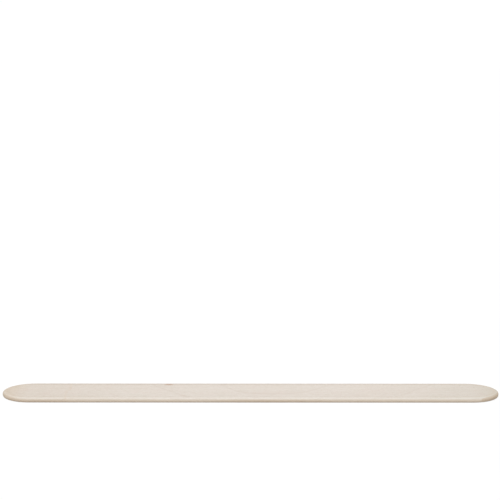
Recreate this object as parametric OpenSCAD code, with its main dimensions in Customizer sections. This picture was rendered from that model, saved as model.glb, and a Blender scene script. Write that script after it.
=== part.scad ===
// Wooden tongue depressor: one flat blade of birch, with full-round ends and
// an edge that is eased the same way all round.
// The blade lies on its underside, its length along X and its width along Y.
// The origin is the middle of the underside. Sizes are in millimetres.

/* [Blade] */
// Length from tip to tip
blade_length = 150; // [100:1:200]
// Width across the straight sides, and diameter of each round end
blade_width = 18; // [12:0.5:25]
// Thickness of the wood
blade_thickness = 1.6; // [1.2:0.1:3]

/* [Edge] */
// Height of the upright band left in the middle of the smoothed edge
edge_flat = 0.2; // [0.1:0.05:1]

/* [Hidden] */
// Each end is half a circle as wide as the blade
end_radius = blade_width / 2;
// Distance between the centres of the two round ends
straight_length = blade_length - blade_width;
// The corners above and below the upright band are rounded, and share the
// rest of the thickness
edge_radius = (blade_thickness - edge_flat) / 2;
// Pale birch
birch = [0.89, 0.855, 0.815];
$fn = 96;

// Half of the cross-section: x runs outward from the middle of the blade,
// y is the height above the underside
module half_section() {
    flat_reach = end_radius - edge_radius;
    square([flat_reach, blade_thickness]);
    translate([0, edge_radius])
        square([end_radius, edge_flat]);
    for (height = [edge_radius, edge_radius + edge_flat])
        translate([flat_reach, height])
            circle(r = edge_radius);
}

// The whole cross-section, the same on both sides of the middle
module section() {
    half_section();
    mirror([1, 0])
        half_section();
}

// The long straight stretch: the section drawn out along X
module straight_stretch() {
    rotate([90, 0, 90])
        linear_extrude(straight_length, center = true)
            section();
}

// One round end: the half section turned through half a circle about the
// end's own centre, so that the eased edge runs on round the tip unbroken.
// direction is 1 for the +X end and -1 for the -X end
module round_end(direction) {
    translate([direction * straight_length / 2, 0, 0])
        rotate_extrude(angle = 180, start = -90 * direction)
            half_section();
}

module blade() {
    color(birch) {
        straight_stretch();
        for (direction = [-1, 1])
            round_end(direction);
    }
}

blade();
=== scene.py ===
"""A wooden tongue depressor lying on a white table, in metres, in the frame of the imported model.

The blade is one dense mesh: the full-round outline, the eased edge that runs all round it, and the shallow
relief that sanding leaves in birch. Its material holds the wood: growth rings in open arches, fibres,
pores, ray flecks, the darker cut edge and the open grain at both tips.
"""

import math
from collections import namedtuple

import bpy
import numpy as np
from mathutils import Matrix, Vector


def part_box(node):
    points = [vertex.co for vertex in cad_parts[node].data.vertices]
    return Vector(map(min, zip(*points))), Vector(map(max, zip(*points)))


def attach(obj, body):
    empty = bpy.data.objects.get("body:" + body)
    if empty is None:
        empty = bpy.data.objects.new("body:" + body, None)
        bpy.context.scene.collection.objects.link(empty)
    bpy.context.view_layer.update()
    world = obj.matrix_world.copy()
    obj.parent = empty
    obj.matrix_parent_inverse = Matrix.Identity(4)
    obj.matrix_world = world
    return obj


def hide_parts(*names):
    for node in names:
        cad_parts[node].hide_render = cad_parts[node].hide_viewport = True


MM = 0.001

# The blade's edge, and how finely the mesh follows it
EDGE_RADIUS = 0.7 * MM
STRAIGHT_STEP = 0.6 * MM
END_STEPS = 56
FACE_ROWS = 40
CORNER_STEPS = 7
BAND_STEPS = 3
# How far from the centre of a round end the middle line of the mesh runs on, as a share of the end's radius
MIDDLE_REACH = 0.72

# Depth of the relief on the faces and on the edge. All of it is cut into the solid
FACE_RELIEF = 0.014 * MM
EDGE_RELIEF = 0.015 * MM

# The camera
CAMERA_DISTANCE = 0.44
CAMERA_AZIMUTH = -0.6843
CAMERA_ELEVATION = 14.5
CAMERA_TILT_UP = 5.752
CAMERA_PAN = 0.0573
CAMERA_ROLL = 0.195
CAMERA_LENS = 103.971

# The light, at which the flat face shows its colours about as they are written
SKY_LEVEL = 0.45
SKY_WHITE = 1.02
KEY_LEVEL = 0.55
KEY_SPREAD = 35
KEY_AZIMUTH = -12
KEY_ELEVATION = 58

FLOOR_SIZE = 8.0
FLOOR_GREY = 0.62
# Share of the floor's own look that white takes the place of for the camera, and that white's strength
FLOOR_WHITE_SHARE = 0.78
FLOOR_WHITE = 1.13


def srgb(red, green, blue):
    """The linear colour of an sRGB colour from 0 to 255."""
    shares = [c / 255 for c in (red, green, blue)]
    return [c / 12.92 if c <= 0.04045 else ((c + 0.055) / 1.055) ** 2.4 for c in shares] + [1.0]


# The colours of the wood
CREAM = srgb(230, 222, 213)
PALE_TAN = srgb(229, 220, 211)
# The warm -X and cool +X end colours are darker than the cream: their tinge plus painted shade of the light falling
# off towards the ends
WARM_SHADED_END = srgb(224, 214, 203)
WARM_TIP = srgb(219, 203, 183)
COOL_SHADED_END = srgb(220, 213, 203)
COOL_TIP = srgb(212, 204, 190)
# Painted shade: the colour the -Y half darkens towards
SHADED_NEAR_HALF = srgb(198, 190, 179)
RING = srgb(205, 188, 175)
EARLY_WOOD = srgb(232, 224, 216)
REDDISH = srgb(204, 174, 152)
PITH = srgb(184, 147, 124)
STREAK = srgb(220, 184, 138)
# Painted shade round the rim of the faces
RIM_SHADE = srgb(205, 193, 180)
RIM_LINE = srgb(216, 200, 180)
# Painted sheen: a whiter tint for the rounded corners, where the highlight falls
PAINTED_SHEEN = srgb(217, 222, 214)
CUT_EDGE = srgb(222, 210, 194)
# Painted shade: the browner colour of the downward-turning part of the edge, above the floor
LOWER_EDGE_SHADE = srgb(224, 197, 168)
BROWNED = srgb(190, 160, 128)
END_GRAIN = srgb(201, 178, 151)

# What the grain and the soft changes of tinge multiply the colour by: red, green, blue, alpha
MOTTLE = [0.90, 0.87, 0.83, 1.0]
FIBRE = [0.915, 0.893, 0.858, 1.0]
VESSEL = [0.78, 0.71, 0.64, 1.0]
RAY = [0.575, 0.42, 0.31, 1.0]
ROSY = [1.0, 0.988, 0.99, 1.0]
GREENISH = [0.985, 0.988, 0.983, 1.0]

# The blade on the plan, in millimetres
BLADE_TOP = 1.6
END_RADIUS = 9.0
END_CENTRE = 66.0
# How far from the middle line the faint line along the rim lies
RIM_LINE_REACH = 7.7

# The figure of the growth rings, in millimetres on the top face
ARCH_MIDDLE = 7.5
ARCH_BOTTOM = -5.3
# Half the width of the arch's level part, how round its corners are, and how steep its flanks become
LEFT_CORNER, LEFT_SLOPE = 11.0, 1.9
RIGHT_CORNER, RIGHT_SLOPE = 7.9, 1.26
CORNER_ROUNDNESS = 3.5
RING_STEP = 38.4
RING_SLANT = 18.0
RING_LINE = 0.75
# How much further on in its year the wood is where the -X ring runs into the near rim
RING_BEND = 5.8

# The thin line that crosses the top face: where it lies, its sideways step in the middle, and its lean
STREAK_X = -55.25
STREAK_STEP = 0.6
STREAK_LEAN = -0.07

# Single marks on the top face. The softness is the share of the size from which a mark fades out
Mark = namedtuple("Mark", "middle size softness strength colour")
MARKS = [
    Mark((-13, 1), (11, 15), 0.1, 0.25, EARLY_WOOD),
    Mark((25, 1), (17, 15), 0.1, 0.3, EARLY_WOOD),
    Mark((-25.1, 7.0), (2.0, 1.0), 0.3, 0.75, REDDISH),
    Mark((-25.3, 7.1), (1.5, 0.5), 0.5, 0.5, PITH),
    Mark((-20.4, -6.4), (1.9, 1.2), 0.1, 0.2, REDDISH),
]

# Stretches of the cut edge that are browner: the middle, how far the colour reaches, and where it is full
BROWNED_STRETCHES = [(6, 22, 8), (-63, 11, 4)]


def smooth_noise(x, y, cell_x, cell_y, seed):
    """Value noise from -1 to 1 at points x, y, with lattice cells of the sizes given."""
    table = np.random.default_rng(seed).uniform(-1, 1, 4096)
    u, v = x / cell_x, y / cell_y
    iu, iv = np.floor(u).astype(int), np.floor(v).astype(int)
    fu, fv = u - iu, v - iv
    fu, fv = fu * fu * (3 - 2 * fu), fv * fv * (3 - 2 * fv)

    def corner(a, b):
        return table[((iu + a) * 157 + (iv + b) * 263) % len(table)]

    low = corner(0, 0) * (1 - fu) + corner(1, 0) * fu
    high = corner(0, 1) * (1 - fu) + corner(1, 1) * fu
    return low * (1 - fv) + high * fv


def columns(half_straight, radius):
    """For each column of the mesh, going round from the +X tip: the point on the middle line that its edge
    is measured from, the outward direction, and the point where it meets the middle of the face."""
    quarter = np.linspace(0, math.pi / 2, END_STEPS // 2 + 1)
    straight = np.linspace(half_straight, -half_straight, round(2 * half_straight / STRAIGHT_STEP) + 1)[1:-1]
    angles = np.concatenate([quarter, np.full(len(straight), math.pi / 2), math.pi - quarter[::-1]])
    centres = np.concatenate([np.full(len(quarter), half_straight), straight, np.full(len(quarter), -half_straight)])
    outward = np.stack([np.cos(angles), np.sin(angles)], axis=1)
    middles = centres + MIDDLE_REACH * radius * outward[:, 0]
    mirrored = slice(-2, 0, -1)
    near = outward[mirrored] * [1, -1]
    return (
        np.concatenate([centres, centres[mirrored]]),
        np.concatenate([outward, near]),
        np.concatenate([middles, middles[mirrored]]),
    )


def edge_profile(radius, thickness):
    """(distance from the middle line, height) of each row of the edge, from the top face down."""
    turn = np.linspace(0, math.pi / 2, CORNER_STEPS + 1)
    inner = radius - EDGE_RADIUS
    upper = [(inner + EDGE_RADIUS * math.sin(a), thickness - EDGE_RADIUS * (1 - math.cos(a))) for a in turn]
    lower = [(reach, thickness - height) for reach, height in reversed(upper)]
    drop = thickness - 2 * EDGE_RADIUS
    band = [(radius, thickness - EDGE_RADIUS - drop * k / BAND_STEPS) for k in range(1, BAND_STEPS)]
    return upper + band + lower


def face_relief(x, y, seed):
    """Depth of the sanded fibres below the true face, from 0 to 1."""
    fibres = smooth_noise(x, y, 7 * MM, 0.5 * MM, seed)
    strands = smooth_noise(x, y, 24 * MM, 1.5 * MM, seed + 1)
    sanding = smooth_noise(x, y, 11 * MM, 6 * MM, seed + 2)
    return 0.5 - 0.2 * fibres - 0.15 * strands - 0.15 * sanding


def edge_relief(along, height, seed):
    """Depth of the tumbled edge below the true one, from 0 to 1."""
    dents = smooth_noise(along, height, 4 * MM, 1.1 * MM, seed)
    wear = smooth_noise(along, height, 17 * MM, 3 * MM, seed + 1)
    return 0.5 - 0.25 * dents - 0.25 * wear


def blade_mesh(lowest, highest):
    """Vertices and faces of the blade inside its box."""
    radius = (highest.y - lowest.y) / 2
    half_straight = (highest.x - lowest.x) / 2 - radius
    thickness = highest.z - lowest.z
    centres, outward, middles = columns(half_straight, radius)
    around = len(centres)
    half = around // 2

    profile = edge_profile(radius, thickness)
    inner = profile[0][0]
    rim = np.stack([centres + inner * outward[:, 0], inner * outward[:, 1]], axis=1)
    middle = np.stack([middles, np.zeros(around)], axis=1)
    # Each column's mirror image on the far side. The way along the edge is the same for both, so that the
    # relief meets itself at the tips
    shared = np.array([u if u <= half else around - u for u in range(around)])
    along = np.concatenate([[0], np.cumsum(np.linalg.norm(np.diff(rim, axis=0), axis=1))])[shared]

    def face_rows(height, sign, seed):
        """Rows from the middle line outward, up to the row before the rim."""
        rows = []
        for share in np.linspace(0, 1, FACE_ROWS + 1)[:-1]:
            flat = middle + share * (rim - middle)
            depth = FACE_RELIEF * face_relief(flat[:, 0], flat[:, 1], seed)
            rows.append(np.column_stack([flat, height - sign * depth]))
        return rows

    top = face_rows(thickness, 1, 11)
    bottom = face_rows(0.0, -1, 31)
    edge = []
    for reach, height in profile:
        rise = (height - thickness / 2) / (thickness / 2)
        depth = EDGE_RELIEF * edge_relief(along, np.full(around, height), 51)
        spot = centres + (reach - depth) * outward[:, 0], (reach - depth) * outward[:, 1]
        up = np.full(around, height) - np.sign(rise) * FACE_RELIEF * 0.5 * abs(rise) ** 3
        edge.append(np.column_stack([*spot, up]))

    # The middle line of each face has one vertex for each column on the far side and its mirror image
    own_middle = list(range(half + 1))
    vertices = [top[0][own_middle]]
    index = [shared]
    count = half + 1
    for row in top[1:] + edge + bottom[:0:-1]:
        vertices.append(row)
        index.append(np.arange(around) + count)
        count += around
    vertices.append(bottom[0][own_middle])
    index.append(shared + count)

    faces = []
    for upper, lower in zip(index, index[1:]):
        for u in range(around):
            v = (u + 1) % around
            faces.append((upper[u], lower[u], lower[v], upper[v]))
    return np.concatenate(vertices), faces


class Nodes:
    """The nodes of one material, or of the world."""

    def __init__(self, owner):
        owner.use_nodes = True
        self.tree = owner.node_tree
        self.tree.nodes.clear()

    def add(self, kind, inputs=None, **settings):
        """A node with its settings, and each named or numbered input set to a value or linked to an output."""
        node = self.tree.nodes.new(kind)
        for name, value in settings.items():
            setattr(node, name, value)
        for name, value in (inputs or {}).items():
            value = getattr(value, "output", value)
            if isinstance(value, bpy.types.NodeSocket):
                self.tree.links.new(value, node.inputs[name])
            else:
                node.inputs[name].default_value = value
        return node


class Number:
    """A number that nodes work out at each point. It is added to and multiplied like a plain one."""

    def __init__(self, nodes, output):
        self.nodes = nodes
        self.output = output

    def math(self, operation, other=0.0):
        node = self.nodes.add("ShaderNodeMath", {0: self, 1: other}, operation=operation)
        return Number(self.nodes, node.outputs[0])

    def __add__(self, other):
        return self.math("ADD", other)

    def __sub__(self, other):
        return self.math("SUBTRACT", other)

    def __mul__(self, other):
        return self.math("MULTIPLY", other)

    def __truediv__(self, other):
        return self.math("DIVIDE", other)

    def __neg__(self):
        return self.math("MULTIPLY", -1.0)

    def __abs__(self):
        return self.math("ABSOLUTE")

    def ramp(self, low, high, to_low=0.0, to_high=1.0):
        """The number's stretch from low to high, smoothly mapped to another."""
        node = self.nodes.add(
            "ShaderNodeMapRange",
            {"Value": self, "From Min": low, "From Max": high, "To Min": to_low, "To Max": to_high},
            interpolation_type="SMOOTHSTEP",
        )
        return Number(self.nodes, node.outputs["Result"])


class Colour:
    """A colour that nodes work out at each point."""

    def __init__(self, nodes, output):
        self.nodes = nodes
        self.output = output

    def mixed(self, other, share, blend="MIX"):
        """This colour turned into the other by a share."""
        inputs = {0: share, 6: self, 7: other}
        node = self.nodes.add("ShaderNodeMix", inputs, data_type="RGBA", blend_type=blend)
        return Colour(self.nodes, node.outputs[2])

    def darkened(self, shade, share):
        """This colour multiplied by a shade, by a share."""
        return self.mixed(shade, share, "MULTIPLY")


class Place:
    """The point being shaded: where it lies on the blade, in millimetres, and which way it faces."""

    def __init__(self, nodes):
        self.nodes = nodes
        coordinates = nodes.add("ShaderNodeTexCoord").outputs
        self.point = self.scaled(coordinates["Object"], [1 / MM] * 3)
        self.x, self.y, self.z = self.parts(self.point)
        self.forward, self.sideways, self.up = self.parts(coordinates["Normal"])

    def scaled(self, vector, factors):
        return self.nodes.add("ShaderNodeVectorMath", {0: vector, 1: factors}, operation="MULTIPLY").outputs[0]

    def parts(self, vector):
        """The three numbers of a vector."""
        return [Number(self.nodes, part) for part in self.nodes.add("ShaderNodeSeparateXYZ", {0: vector}).outputs]

    def noise(self, cell, detail=2.0, roughness=0.5):
        """Noise from 0 to 1 whose features are about as long, wide and high as the cell."""
        vector = self.scaled(self.point, [1 / size for size in cell])
        inputs = {"Vector": vector, "Scale": 1.0, "Detail": detail, "Roughness": roughness}
        return Number(self.nodes, self.nodes.add("ShaderNodeTexNoise", inputs).outputs["Fac"])

    def wander(self, cell, amount):
        """Noise about 0, up to about half the amount each way."""
        return (self.noise(cell) - 0.5) * amount


def distance(a, b):
    """The length of the vector (a, b)."""
    return (a * a + b * b).math("SQRT")


def plain_wood(at):
    """Pale cream that wanders a little, warmer at -X and greyer at +X, with painted shade: darker towards both ends,
    where the light falls off, and duller towards -Y.
    """
    colour = Colour(at.nodes, CREAM).mixed(PALE_TAN, at.noise((26, 9, 9)).ramp(0.35, 0.65))
    # Painted shade towards -X, where the light falls off, in the warm tinge of that end
    colour = colour.mixed(WARM_SHADED_END, at.x.ramp(-26, -76, 0.0, 0.75))
    colour = colour.mixed(WARM_TIP, at.x.ramp(-66, -74, 0.0, 0.55))
    # Painted shade towards +X, where the light falls off, in the cool tinge of that end
    colour = colour.mixed(COOL_SHADED_END, at.x.ramp(34, 76, 0.0, 0.75))
    colour = colour.mixed(COOL_TIP, at.x.ramp(66, 76, 0.0, 0.7))
    # Painted shade: darker towards -Y
    colour = colour.mixed(SHADED_NEAR_HALF, at.y.ramp(8, -8, 0.0, 0.07))
    tinge = at.noise((3, 4, 4))
    colour = colour.darkened(ROSY, tinge.ramp(0.5, 0.7))
    return colour.darkened(GREENISH, tinge.ramp(0.5, 0.3))


def flank(reach, corner, slope):
    """How far one side of an arch has risen at a distance from the arch's middle, and how steeply."""
    beyond = reach - corner
    length = distance(beyond, CORNER_ROUNDNESS)
    rise = (length + beyond) * (slope / 2)
    steepness = (beyond / length + 1.0) * (slope / 2)
    return rise, steepness


def growth_rings(at):
    """How strongly the dark line between two years shows, and where in its year the wood lies, from 0 to 1.

    The rings cross the top face as open arches. Each lies further out on the underside, because the blade
    is peeled from the log."""
    across = at.x - ARCH_MIDDLE
    left, left_steepness = flank(-across, LEFT_CORNER, LEFT_SLOPE)
    right, right_steepness = flank(across, RIGHT_CORNER, RIGHT_SLOPE)
    level = left + right - (at.y - ARCH_BOTTOM) - (at.z - BLADE_TOP) * RING_SLANT
    level = level + at.x.ramp(-8, -16) * at.y.ramp(6, -10, 0.0, RING_BEND)
    level = level + at.wander((6, 6, 6), 1.3) + at.wander((2.5, 0.3, 0.3), 0.5)

    year = level / RING_STEP
    nearest = abs((year + 0.5).math("FRACT") - 0.5)
    off = nearest * RING_STEP / distance(right_steepness - left_steepness, 1.0)
    strength = at.noise((9, 9, 9), 1.0).ramp(0.3, 0.7, 0.8, 1.0)
    return off.ramp(RING_LINE, 0.1) * strength, year.math("FRACT")


def ring_figure(at, colour):
    """The growth rings, which fade out towards the -X tip."""
    line, season = growth_rings(at)
    clear = at.x.ramp(-50, -36)
    early = season.ramp(0.0, 0.05) * season.ramp(0.36, 0.06, 0.0, 0.3)
    colour = colour.mixed(EARLY_WOOD, early * clear)
    return colour.mixed(RING, line * clear * at.x.ramp(38, 46, 0.2, 0.13))


def rim_shade_and_line(at, colour):
    """Painted shade round the rim of the faces, strongest on the +Y side away from the key light, and a faint warm
    line where the rounded corner begins.
    """
    off_middle = abs(at.x)
    reach = distance((off_middle - END_CENTRE).math("MAXIMUM", 0.0), at.y)
    # Painted shade round the rim: it fades at the tips and is strongest on +Y, away from the key light
    band = (reach + at.wander((7, 1.2, 1.2), 1.4)).ramp(END_RADIUS - 3.6, END_RADIUS - 0.9)
    band = band * off_middle.ramp(74, 60, 0.25, 1.0) * at.x.ramp(-20, 10, 1.0, 0.75)
    colour = colour.mixed(RIM_SHADE, band * at.y.ramp(-8, 8, 0.08, 0.58))
    line = abs(reach - RIM_LINE_REACH).ramp(0.6, 0.15)
    return colour.mixed(RIM_LINE, line * off_middle.ramp(30, 62, 0.08, 0.3))


def edge_tones(at, colour):
    """The painted sheen on the rounded corners, where the highlight falls, and the darker cut edge, browner in two
    stretches. The downward-turning part of the edge is browner as painted shade from the floor beneath.
    """
    # Painted sheen: the rounded corners tinted whiter where the highlight falls
    sheen = at.up.ramp(0.995, 0.95) * at.up.ramp(0.6, 0.8)
    colour = colour.mixed(PAINTED_SHEEN, sheen * at.x.ramp(-40, 60, 0.18, 0.28))
    colour = colour.mixed(CUT_EDGE, abs(at.up).ramp(0.6, 0.05) * 0.85)
    not_below = at.up.ramp(-1.0, -0.9)
    # Painted shade: the downward-turning part of the edge is browner, where the floor beneath shades it
    colour = colour.mixed(LOWER_EDGE_SHADE, at.up.ramp(0.25, -0.5) * not_below * 0.45)
    for middle, reach, full in BROWNED_STRETCHES:
        browned = abs(at.x - middle).ramp(reach, full) * at.up.ramp(0.4, -0.1) * not_below
        colour = colour.mixed(BROWNED, browned * 0.2)
    return colour


def tip_tones(at, colour):
    """The open ends of the fibres round both tips, most of all at +X."""
    tip = at.forward.ramp(0.265, 0.31, 0.0, 0.46) + at.forward.ramp(0.45, 1.0, 0.0, 0.3)
    colour = colour.mixed(END_GRAIN, tip * at.up.ramp(0.997, 0.92))
    tip = at.forward.ramp(-0.2, -0.7) * at.up.ramp(0.995, 0.85)
    return colour.mixed(END_GRAIN, tip * 0.3)


def thin_streak(at):
    """The thin line that crosses the top face, with one kink in the middle."""
    path = at.y * STREAK_LEAN + STREAK_X + at.y.math("TANH") * STREAK_STEP
    return abs(at.x - path).ramp(0.6, 0.1) * at.z.ramp(0.3, 1.0)


def oval(at, mark):
    """1 inside a mark's oval on the plan, falling to 0 at its rim, which frays along the fibres."""
    across = (at.x - mark.middle[0]) / mark.size[0]
    up = (at.y - mark.middle[1]) / mark.size[1]
    far = distance(across, up) + at.wander((1.5, 0.16, 0.16), 1.4)
    return far.ramp(1.0, mark.softness)


def single_marks(at, colour):
    """What sets this blade's top face apart: the thin line, two pale patches and two reddish flecks."""
    colour = colour.mixed(STREAK, thin_streak(at) * 0.09)
    top = at.z.ramp(0.2, 1.2)
    for mark in MARKS:
        colour = colour.mixed(mark.colour, oval(at, mark) * mark.strength * top)
    return colour


def grain(at, colour, fibres, vessels):
    """Mottle, strands and single fibres, the open vessels, and ray flecks."""
    colour = colour.darkened(MOTTLE, at.noise((1.3, 1.6, 1.6), 1.0).ramp(0.3, 0.7, 0.0, 0.22))
    colour = colour.darkened(FIBRE, fibres.ramp(0.4, 0.7, 0.0, 0.5))
    colour = colour.darkened(FIBRE, at.noise((16, 0.45, 0.45), 2.0, 0.6).ramp(0.5, 0.72, 0.0, 0.3))
    colour = colour.darkened(VESSEL, vessels * 0.45)
    return colour.darkened(RAY, at.noise((0.4, 0.06, 0.06), 0.0).ramp(0.74, 0.8) * 0.6)


def birch():
    """Pale rotary-cut birch, dry and sanded. Its patterns are laid out in millimetres on the blade."""
    material = bpy.data.materials.new("birch")
    nodes = Nodes(material)
    at = Place(nodes)
    fibres = at.noise((5, 0.17, 0.17), 3.0, 0.6)
    vessels = at.noise((1.8, 0.07, 0.07), 1.0).ramp(0.6, 0.72)
    level = abs(at.up)

    colour = plain_wood(at)
    for tones in (ring_figure, rim_shade_and_line, edge_tones, tip_tones, single_marks):
        colour = tones(at, colour)
    colour = colour.mixed(grain(at, colour, fibres, vessels), level.ramp(0.98, 0.7, 1.0, 0.7))

    height = fibres - vessels * 0.5
    strength = level.ramp(0.98, 0.6, 0.4, 0.5)
    bump = nodes.add("ShaderNodeBump", {"Strength": strength, "Distance": 0.03 * MM, "Height": height})
    shader = nodes.add(
        "ShaderNodeBsdfPrincipled",
        {
            "Base Color": colour,
            "Roughness": fibres.ramp(0.3, 0.7, 0.58, 0.74),
            "Specular IOR Level": 0.25,
            "Normal": bump.outputs[0],
        },
    )
    nodes.add("ShaderNodeOutputMaterial", {"Surface": shader.outputs[0]})
    return material


def make_blade():
    lowest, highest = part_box("blade")
    vertices, faces = blade_mesh(lowest, highest)
    mesh = bpy.data.meshes.new("birch_blade")
    mesh.from_pydata(vertices.tolist(), [], [tuple(int(i) for i in f) for f in faces])
    mesh.validate()
    mesh.polygons.foreach_set("use_smooth", [True] * len(mesh.polygons))
    mesh.materials.append(birch())
    blade = bpy.data.objects.new("birch_blade", mesh)
    bpy.context.scene.collection.objects.link(blade)
    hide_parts("blade")
    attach(blade, "root")


def seen_directly(nodes):
    """1 for rays from the camera, from a glossy bounce or through glass, else 0."""
    path = nodes.add("ShaderNodeLightPath").outputs
    either = Number(nodes, path["Is Camera Ray"]).math("MAXIMUM", path["Is Glossy Ray"])
    return either.math("MAXIMUM", path["Is Transmission Ray"])


def make_floor():
    """A white table. What the camera sees of it is whitened, and keeps the blade's shadow."""
    half = FLOOR_SIZE / 2
    mesh = bpy.data.meshes.new("floor")
    mesh.from_pydata([(-half, -half, 0), (half, -half, 0), (half, half, 0), (-half, half, 0)], [], [(0, 1, 2, 3)])
    material = bpy.data.materials.new("floor")
    nodes = Nodes(material)
    grey = nodes.add("ShaderNodeBsdfDiffuse", {"Color": [FLOOR_GREY] * 3 + [1.0]})
    white = nodes.add("ShaderNodeEmission", {"Color": [1.0] * 4, "Strength": FLOOR_WHITE})
    share = seen_directly(nodes) * FLOOR_WHITE_SHARE
    both = nodes.add("ShaderNodeMixShader", {0: share, 1: grey.outputs[0], 2: white.outputs[0]})
    nodes.add("ShaderNodeOutputMaterial", {"Surface": both.outputs[0]})
    mesh.materials.append(material)
    floor = bpy.data.objects.new("floor", mesh)
    bpy.context.scene.collection.objects.link(floor)


def make_sky():
    """Even light from all round, which the camera sees as white."""
    world = bpy.data.worlds.new("sky")
    bpy.context.scene.world = world
    nodes = Nodes(world)
    strength = seen_directly(nodes).ramp(0.0, 1.0, SKY_LEVEL, SKY_WHITE)
    back = nodes.add("ShaderNodeBackground", {"Color": [1.0] * 4, "Strength": strength})
    nodes.add("ShaderNodeOutputWorld", {"Surface": back.outputs[0]})


def away(azimuth, elevation):
    """The direction from the blade to a place at that azimuth, where 0 is in front, and elevation."""
    a, e = math.radians(azimuth), math.radians(elevation)
    return Vector((math.sin(a) * math.cos(e), -math.cos(a) * math.cos(e), math.sin(e)))


def facing_blade(direction):
    """A rotation whose -Z looks back at the blade from that direction."""
    return (-direction).to_track_quat("-Z", "Y").to_matrix()


def make_key():
    """One soft light from above and in front, as even over the table as over the blade."""
    lamp = bpy.data.lights.new("key", "SUN")
    lamp.angle = math.radians(KEY_SPREAD)
    direction = away(KEY_AZIMUTH, KEY_ELEVATION)
    # This strength lights a level white face to KEY_LEVEL
    lamp.energy = KEY_LEVEL * math.pi / direction.z
    key = bpy.data.objects.new("key", lamp)
    key.matrix_world = Matrix.Translation(direction) @ facing_blade(direction).to_4x4()
    bpy.context.scene.collection.objects.link(key)


def make_camera():
    data = bpy.data.cameras.new("camera")
    data.lens = CAMERA_LENS
    data.clip_start, data.clip_end = 0.01, 50
    direction = away(CAMERA_AZIMUTH, CAMERA_ELEVATION)
    turned = facing_blade(direction)
    for degrees, axis in ((CAMERA_TILT_UP, "X"), (CAMERA_PAN, "Y"), (CAMERA_ROLL, "Z")):
        turned = turned @ Matrix.Rotation(math.radians(degrees), 3, axis)
    camera = bpy.data.objects.new("camera", data)
    camera.matrix_world = Matrix.Translation(direction * CAMERA_DISTANCE) @ turned.to_4x4()
    bpy.context.scene.collection.objects.link(camera)
    bpy.context.scene.camera = camera


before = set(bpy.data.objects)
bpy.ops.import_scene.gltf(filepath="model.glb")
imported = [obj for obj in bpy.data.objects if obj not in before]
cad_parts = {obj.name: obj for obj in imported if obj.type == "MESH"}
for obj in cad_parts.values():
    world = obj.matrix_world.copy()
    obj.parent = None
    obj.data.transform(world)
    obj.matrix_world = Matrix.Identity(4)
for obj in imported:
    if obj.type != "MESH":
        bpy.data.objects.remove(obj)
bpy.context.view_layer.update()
bpy.context.scene.view_settings.view_transform = "Standard"
make_camera()
make_blade()
make_floor()
make_sky()
make_key()
